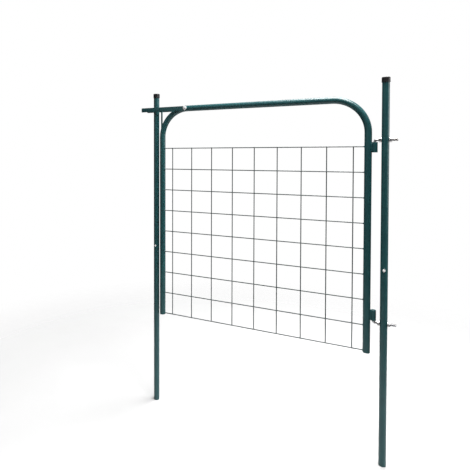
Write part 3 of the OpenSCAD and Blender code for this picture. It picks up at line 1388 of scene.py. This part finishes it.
@dataclass
class Leaf(Assembly):
    """The leaf's bent tube with its plugs, hinge sleeves, rest rod and their welds.

    Args:
        wall: Wall of the tube.
        ease: Rounding of the cut ends.
        bend: Radius of the top corners on the tube's centre line.
        bead: The welds of the sleeves and the rest rod.
    """

    wall: float = 1.5 * MM
    ease: float = 0.45 * MM
    bend: float = 132 * MM
    bead: Bead = Bead(2.6 * MM, 2.4 * MM)

    def __post_init__(self) -> None:
        """Reads the leaf's places from the frame."""
        self.body = Body.LEAF
        self.box = Box("leaf_frame")
        self.radius = self.box.size.y / 2
        self.rest = Box("latch_rest")
        self.legs = (self.box.low.x + self.radius, self.box.high.x - self.radius)
        self.pivot = Box("pivot_bolt").centre

    def build(self) -> None:
        """Makes every piece of the leaf except its wires."""
        self._frame()
        for leg in ("latch_leg", "hinge_leg"):
            node = f"{leg}_plug"
            self.fit(foot_plug(f"{leg}_foot_plug", Box(node)), Finish.PLASTIC, node)
        for place in ("upper", "lower"):
            self._sleeve(place)
        self._rest()

    def _arch(self) -> Route:
        """The route of the bent tube, up one leg, over the rail and down the other leg.

        Returns:
            The route on the tube's centre line.
        """
        bend = self.bend
        leg = self.box.size.z - self.radius - bend
        span = self.legs[1] - self.legs[0] - 2 * bend
        quarter = math.pi / 2
        route = Route(Vector((self.legs[0], 0, self.box.low.z)), Z_AXIS)
        return route.straight(leg).bend(bend, quarter).straight(span).bend(bend, quarter).straight(leg)

    def _frame(self) -> None:
        """The bent tube, drilled for the pivot bolt."""
        route = self._arch()
        bore = self.radius - self.wall
        e = self.ease
        stops = [s for s in route.stops(math.radians(3)) if e < s < route.length - e]
        outer = [(0.0, self.radius - e), (0.3 * e, self.radius - 0.3 * e), (e, self.radius)]
        outer += [(s, self.radius) for s in stops]
        far = route.length
        outer += [(far - e, self.radius), (far - 0.3 * e, self.radius - 0.3 * e), (far, self.radius - e)]
        inner = [(far, bore + e / 2), (far - e / 2, bore)]
        inner += [(s, bore) for s in reversed(stops)]
        inner += [(e / 2, bore), (0.0, bore + e / 2)]
        shape = Shape("leaf_bent_tube")
        shape.tube(route, outer + inner, 56, closed=True)
        made = shape.piece(30)
        reach = 2 * self.radius
        start = Vector((self.pivot.x, -reach, self.pivot.z))
        drill(made, [rod_cutter(start, Y_AXIS, Latch.bolt_radius() + 0.3 * MM, 2 * reach)], 30)
        self.fit(made, Finish.PAINT, "leaf_frame")

    def _sleeve(self, place: str) -> None:
        """Makes a hinge sleeve with chamfered ends and the two welds that hold it to the leg.

        Args:
            place: Which sleeve, "upper" or "lower".
        """
        node = f"{place}_hinge_sleeve"
        box = Box(node)
        outer = box.size.x / 2
        bore = HookBolt.rod_radius(HookSide.LOWER) + 0.5 * MM
        shape = Shape(f"{place}_hinge_tube")
        route = Route(Vector((box.centre.x, 0, box.low.z)), Z_AXIS)
        shape.tube(route, ring_profile(box.size.z, outer, bore, 0.8 * MM), 48, closed=True)
        self.fit(shape.piece(30), Finish.PAINT, node)

        weld = Shape(f"{place}_hinge_welds")
        nest = self.bead.radius * 0.8
        gap = box.centre.x - self.legs[1]
        from_leg, from_sleeve = self.radius + nest, outer + nest
        along = (gap**2 + from_leg**2 - from_sleeve**2) / (2 * gap)
        across = math.sqrt(from_leg**2 - along**2)
        margin = 2.5 * MM
        for sign in (-1, 1):
            start = Vector((self.legs[1] + along, sign * across, box.low.z + margin))
            self.bead.lay(weld, Route(start, Z_AXIS).straight(box.size.z - 2 * margin))
        self.fit(weld.piece(60), Finish.PAINT)

    def _rest(self) -> None:
        """The rod that carries the lever, with a weld round its foot."""
        box = self.rest
        radius = box.size.x / 2
        bend = self.bend
        centre = Vector((self.legs[0] + bend, 0, self.box.high.z - self.radius - bend))
        reach = bend + self.radius
        near, far = box.centre.x - radius, box.centre.x + radius
        wall_low = centre.z + math.sqrt(max(reach**2 - (centre.x - near) ** 2, 0.0))
        wall_high = centre.z + math.sqrt(max(reach**2 - (centre.x - far) ** 2, 0.0))
        foot = max(wall_low - self.radius, centre.z)
        length = box.high.z - foot
        shape = Shape("lever_rest_rod")
        shape.tube(Route(Vector((box.centre.x, 0, foot)), Z_AXIS), eased_bar(length, radius, 0.5 * MM), 36)
        rod = shape.piece(30)
        arch = self._arch()
        saddle = Shape("cutter")
        saddle.tube(arch, [(s, self.radius) for s in arch.stops(math.radians(3))], 56)
        drill(rod, [saddle.piece()], 30)
        self.fit(rod, Finish.PAINT, "latch_rest")

        weld = Shape("lever_rest_weld")
        middle = (wall_low + wall_high) / 2
        slope = math.atan2(wall_high - wall_low, far - near)
        for sign in (-1, 1):
            start = Vector((box.centre.x, sign * (radius + 0.4 * MM), middle - 7 * MM))
            heading = Vector((math.cos(slope) * 0.35, 0, math.sin(slope)))
            side = Y_AXIS
            self.bead.lay(weld, Route(start, heading, side).straight(14 * MM))
        self.fit(weld.piece(60), Finish.PAINT)


@dataclass
class WireMesh(Assembly):
    """The welded wires of the leaf: level ones in front, upright ones behind, and their welds.

    Args:
        nodes: Names of all nodes in the frame.
        nugget: Radius of a spot weld.
        flare: How far a wire's end weld spreads over the leg.
    """

    nodes: Sequence[str] = ()
    nugget: float = 2.5 * MM
    flare: float = 2.2 * MM

    def __post_init__(self) -> None:
        """Reads the wires' places from the frame."""
        self.body = Body.LEAF
        self.lines = [node for node in self.nodes if node.startswith("line_wire_")]
        self.cross = [node for node in self.nodes if node.startswith("cross_wire_")]
        self.radius = Box(self.cross[0]).size.x / 2
        self.leg = Box("leaf_frame").size.y / 2

    def build(self) -> None:
        """Makes the wires and their welds."""
        for node in self.lines:
            self._wire(node, X_AXIS, 0.1 * MM)
        for node in self.cross:
            self._wire(node, Z_AXIS, 0.5 * MM)
        self._spots()
        self._ends()

    def _wire(self, node: str, heading: Vector, ease: float) -> None:
        """Makes one straight wire along the whole of its node's box.

        Args:
            node: The wire's node.
            heading: Direction of the wire.
            ease: Rounding of its sheared ends.
        """
        box = Box(node)
        length = box.size.dot(heading)
        route = Route(box.centre - heading * (length / 2), heading).straight(length)
        shape = Shape(f"{node}_rod")
        shape.tube(route, eased_bar(length, self.radius, ease), 20)
        self.fit(shape.piece(30), Finish.WIRE_PAINT, node)

    def _spots(self) -> None:
        """The spot weld at every crossing, as squeezed drops of metal."""
        shape = Shape("mesh_spot_welds")
        steps = 6
        for row, line in enumerate(self.lines):
            for column, cross in enumerate(self.cross):
                level, upright = Box(line).centre, Box(cross).centre
                middle = (level.y + upright.y) / 2
                size = self.nugget * (1 + 0.08 * math.sin(5.1 * row + 2.7 * column))
                start = Vector((upright.x, middle - size, level.z))
                stations = [(0.0, 0.0)]
                for k in range(1, steps):
                    angle = math.pi * k / steps
                    stations.append((size * (1 - math.cos(angle)), 1.15 * size * math.sin(angle)))
                stations.append((2 * size, 0.0))
                shape.tube(Route(start, Y_AXIS, Z_AXIS), stations, 12)
        self.fit(shape.piece(60), Finish.WIRE_PAINT)

    def _ends(self) -> None:
        """The small flared welds where the level wires meet the legs."""
        shape = Shape("mesh_end_welds")
        sink = 1.2 * MM
        for number, node in enumerate(self.lines):
            box = Box(node)
            for sign, x in ((1, box.low.x), (-1, box.high.x)):
                start = Vector((x - sign * sink, box.centre.y, box.centre.z))
                wide = self.radius + self.flare
                stations = [(0.0, 0.8 * wide), (sink, wide), (2 * sink, 0.72 * wide)]
                stations.append((4 * sink, self.radius + 0.02 * MM))

                def lumps(distance: float, angle: float, seed: float = number + sign) -> float:
                    """A little unevenness round the weld."""
                    return 0.25 * MM * math.sin(3 * angle + seed) * (distance < 3 * sink)

                shape.tube(Route(start, X_AXIS * sign), stations, 18, ripple=lumps)
        self.fit(shape.piece(60), Finish.PAINT)


@dataclass
class Pivot(Assembly):
    """The pivot of the lever: a domed bolt, its nut and the two spacers beside the rail.

    Args:
        thread: Thread of the bolt.
    """

    thread: Thread = Thread(1.25 * MM, 0.6 * MM)

    def __post_init__(self) -> None:
        """Reads the pivot's places from the frame."""
        self.body = Body.LEAF
        self.bolt = Box("pivot_bolt")
        self.nut = Box("pivot_nut")
        self.spacers = Box("pivot_spacers")
        self.radius = Latch.bolt_radius()

    def build(self) -> None:
        """Makes the bolt, the nut and the spacers."""
        middle = self.bolt.centre
        top = Vector((middle.x, self.bolt.low.y, middle.z))
        height = -self.nut.low.y - self.bolt.low.y
        head, length = self.bolt.size.x / 2, self.bolt.size.y
        bolt = HeadedBolt(top, head, height, 0.3 * height, self.radius, length, self.thread, 18 * MM)
        self.fit(bolt.build("pivot_coach_bolt"), Finish.ZINC_WITH_PAINTED_GLINT, "pivot_bolt")

        shape = Shape("pivot_hex_nut")
        width = min(self.nut.size.x, self.nut.size.z)
        seat = Vector((middle.x, self.nut.low.y, middle.z))
        shape.hexagon(seat, Y_AXIS, width, self.radius, self.nut.size.y)
        self.fit(shape.piece(), Finish.ZINC_WITH_PAINTED_GLINT, "pivot_nut")

        shape = Shape("pivot_spacer_pair")
        rail = Box("leaf_frame").size.y / 2
        reach = self.spacers.high.y - rail
        profile = ring_profile(reach, self.spacers.size.x / 2, self.radius + 0.1 * MM, 0.3 * MM)
        for sign in (-1, 1):
            route = Route(Vector((middle.x, sign * rail, middle.z)), Y_AXIS * sign, Z_AXIS)
            shape.tube(route, profile, 44, closed=True)
        self.fit(shape.piece(30), Finish.ZINC_WITH_PAINTED_GLINT, "pivot_spacers")


@dataclass
class Latch(Assembly):
    """The fork that drops over the latch post: two plates and two riveted spacer pins.

    Args:
        ease: Rounding of the plates' edges.
        chamfer: Cut corners at the square end.
    """

    ease: float = 0.5 * MM
    chamfer: float = 2 * MM

    def __post_init__(self) -> None:
        """Reads the lever's places from the frame."""
        self.body = Body.LEVER
        self.pivot = Box("pivot_bolt").centre

    @staticmethod
    def bolt_radius() -> float:
        """Radius of the pivot bolt's shank, from its nut's height."""
        return Box("pivot_nut").size.y / 0.8 / 2

    def build(self) -> None:
        """Makes the plates and the pins."""
        for place in ("front", "rear"):
            self._plate(place)
        for place in ("end", "rest"):
            self._pin(place)

    def _plate(self, place: str) -> None:
        """Makes one plate, round at the pivot and square at its free end.

        Args:
            place: Which plate, "front" or "rear".
        """
        node = f"latch_{place}_plate"
        box = Box(node)
        half = box.size.z / 2
        z = self.pivot.z
        end = box.low.x
        outline = [
            Vector((end, box.low.y, z + half - self.chamfer)),
            Vector((end, box.low.y, z - half + self.chamfer)),
            Vector((end + self.chamfer, box.low.y, z - half)),
        ]
        steps = 24
        for k in range(steps + 1):
            angle = -math.pi / 2 + math.pi * k / steps
            along, up = half * math.cos(angle), half * math.sin(angle)
            outline.append(Vector((self.pivot.x + along, box.low.y, z + up)))
        outline.append(Vector((end + self.chamfer, box.low.y, z + half)))
        shape = Shape(f"latch_{place}_arm")
        shape.plate(outline, Y_AXIS * box.size.y, self.ease)
        made = shape.piece(18)
        start = Vector((self.pivot.x, box.low.y - MM, z))
        drill(made, [rod_cutter(start, Y_AXIS, self.bolt_radius() + 0.3 * MM, box.size.y + 2 * MM)], 18)
        self.fit(made, Finish.PAINT, node)

    def _pin(self, place: str) -> None:
        """Makes one spacer pin, with a peened rivet end through each plate.

        Args:
            place: Which pin, "end" or "rest".
        """
        node = f"latch_{place}_pin"
        box = Box(node)
        radius = box.size.x / 2
        inner = Box("latch_rear_plate").low.y
        outer = Box("latch_rear_plate").high.y
        reach = box.high.y
        neck = radius - 1.5 * MM
        head = neck + 0.9 * MM
        half = [(inner, radius), (inner, neck), (outer, neck), (outer, head)]
        proud = reach - outer
        for k in range(1, 5):
            angle = math.pi / 2 * k / 5
            half.append((outer + proud * math.sin(angle), head * math.cos(angle)))
        half.append((reach, 0.0))
        route = Route(Vector((box.centre.x, 0, self.pivot.z)), Y_AXIS, Z_AXIS).straight(reach)
        stations = [(-s, r) for s, r in reversed(half)] + half
        shape = Shape(f"latch_{place}_rivet")
        shape.tube(route, stations, 32)
        self.fit(shape.piece(30), Finish.PAINT, node)


# ---------------------------------------------------------------------------
# Studio
# ---------------------------------------------------------------------------


@dataclass(frozen=True)
class Softbox:
    """A rectangular studio light.

    Args:
        name: Name of the light.
        place: Where it hangs.
        aim: The point that it faces.
        width: Width of its face.
        height: Height of its face.
        power: Power in watts.
        tint: Colour of the light.
    """

    name: str
    place: Rgb
    aim: Rgb
    width: float
    height: float
    power: float
    tint: Rgb = (1.0, 1.0, 1.0)

    def hang(self) -> None:
        """Adds the light to the scene."""
        data = bpy.data.lights.new(self.name, "AREA")
        data.shape = "RECTANGLE"
        data.size, data.size_y = self.width, self.height
        data.energy = self.power
        data.color = self.tint
        light = bpy.data.objects.new(self.name, data)
        light.location = self.place
        aim = Vector(self.aim) - Vector(self.place)
        light.rotation_euler = aim.to_track_quat("-Z", "Y").to_euler()
        bpy.context.scene.collection.objects.link(light)


@dataclass(frozen=True)
class Viewpoint:
    """The main camera.

    Args:
        place: Where the camera stands.
        turn: Degrees to the left of straight ahead.
        dip: Degrees below level.
        lens: Focal length in millimetres on a sensor 36 mm wide.
        shift: Sideways and upward shift of the picture, in picture widths.
    """

    place: Rgb = (1.038, -1.886, 1.204)
    turn: float = 27.8
    dip: float = 1.2
    lens: float = 33.7
    shift: tuple[float, float] = (0.15, -0.15)

    def set_up(self) -> None:
        """Adds the camera and makes it the scene's."""
        data = bpy.data.cameras.new("camera")
        data.lens = self.lens
        data.sensor_width = 36.0
        data.shift_x, data.shift_y = self.shift
        data.dof.use_dof = False
        camera = bpy.data.objects.new("camera", data)
        camera.location = self.place
        camera.rotation_euler = (math.radians(90 - self.dip), 0.0, math.radians(self.turn))
        bpy.context.scene.collection.objects.link(camera)
        bpy.context.scene.camera = camera


@dataclass
class Studio:
    """The plain pale floor, the soft light and the background.

    Args:
        middle: Point under the middle of the gate.
        floor_radius: Radius of the floor.
        room: Brightness of the room below and above.
    """

    middle: Vector
    floor_radius: float = 9.0
    room: tuple[float, float] = (0.05, 0.3)

    def build(self) -> None:
        """Makes the whole studio."""
        self._background()
        self._floor()
        for light in self._lights():
            light.hang()
        view = bpy.context.scene.view_settings
        view.view_transform = "Standard"
        view.look = "None"
        view.exposure = 0.0

    def _background(self) -> None:
        """A white backdrop, in a dim room that lights the gate softly from above."""
        world = bpy.data.worlds.new("surround")
        world.use_nodes = True
        tree = world.node_tree
        backdrop = tree.nodes["Background"]
        backdrop.inputs["Color"].default_value = (1.0, 1.0, 1.0, 1.0)
        room = tree.nodes.new("ShaderNodeBackground")
        room.inputs["Color"].default_value = (1.0, 1.0, 1.0, 1.0)
        split = tree.nodes.new("ShaderNodeSeparateXYZ")
        height = tree.nodes.new("ShaderNodeMapRange")
        height.inputs["From Min"].default_value, height.inputs["From Max"].default_value = -0.2, 0.9
        height.inputs["To Min"].default_value, height.inputs["To Max"].default_value = self.room
        tree.links.new(tree.nodes.new("ShaderNodeTexCoord").outputs["Generated"], split.inputs["Vector"])
        tree.links.new(split.outputs["Z"], height.inputs["Value"])
        tree.links.new(height.outputs["Result"], room.inputs["Strength"])
        mix = tree.nodes.new("ShaderNodeMixShader")
        tree.links.new(tree.nodes.new("ShaderNodeLightPath").outputs["Is Camera Ray"], mix.inputs["Fac"])
        tree.links.new(room.outputs["Background"], mix.inputs[1])
        tree.links.new(backdrop.outputs["Background"], mix.inputs[2])
        tree.links.new(mix.outputs["Shader"], tree.nodes["World Output"].inputs["Surface"])
        bpy.context.scene.world = world

    def _floor(self) -> None:
        """A round floor, made as rings, that the posts stand on."""
        shape = bmesh.new()
        count = 64
        rings = [0.5, 1.5, 3.0, 6.0, self.floor_radius]
        hub = shape.verts.new((self.middle.x, self.middle.y, 0.0))
        previous = None
        for radius in rings:
            ring = []
            for k in range(count):
                angle = 2 * math.pi * k / count
                x, y = self.middle.x + radius * math.cos(angle), self.middle.y + radius * math.sin(angle)
                ring.append(shape.verts.new((x, y, 0.0)))
            for k in range(count):
                n = (k + 1) % count
                if previous is None:
                    shape.faces.new((hub, ring[k], ring[n]))
                else:
                    shape.faces.new((previous[k], ring[k], ring[n], previous[n]))
            previous = ring
        mesh = bpy.data.meshes.new("floor")
        shape.to_mesh(mesh)
        shape.free()
        floor = bpy.data.objects.new("floor", mesh)
        bpy.context.scene.collection.objects.link(floor)
        finish = PaleFloor("pale_floor", (0.56, 0.56, 0.56), 0.8, 2.4, (self.middle.x, self.middle.y))
        mesh.materials.append(finish.build())
        floor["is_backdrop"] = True

    def _lights(self) -> list[Softbox]:
        """Lists the soft lights: a large one overhead, one from the hinge side and a weak one in front.

        Returns:
            The lights, not yet added to the scene.
        """
        aim = (self.middle.x, 0.0, 0.9)
        rail = (self.middle.x, 0.0, 1.4)
        return [
            Softbox("overhead", (self.middle.x + 0.5, 0.1, 3.5), rail, 2.8, 1.3, 270.0),
            Softbox("side", (3.3, 0.5, 1.9), aim, 1.2, 2.4, 55.0),
            Softbox("front", (-1.4, -3.2, 1.8), aim, 1.6, 2.2, 7.0),
        ]


def main() -> None:
    """Builds the gate and the studio, in order."""
    logging.basicConfig(level=logging.INFO, format="%(name)s: %(message)s")
    frame_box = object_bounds()
    Viewpoint().set_up()
    finishes = Finishes()
    for side in Side:
        Post(finishes, side).build()
    for which in HookSide:
        HookBolt(finishes, which).build()
    Leaf(finishes).build()
    WireMesh(finishes, tuple(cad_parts)).build()
    Pivot(finishes).build()
    Latch(finishes).build()
    low, high = frame_box
    Studio(Vector(((low.x + high.x) / 2, 0.0, 0.0))).build()


if __name__ == "__main__":
    main()
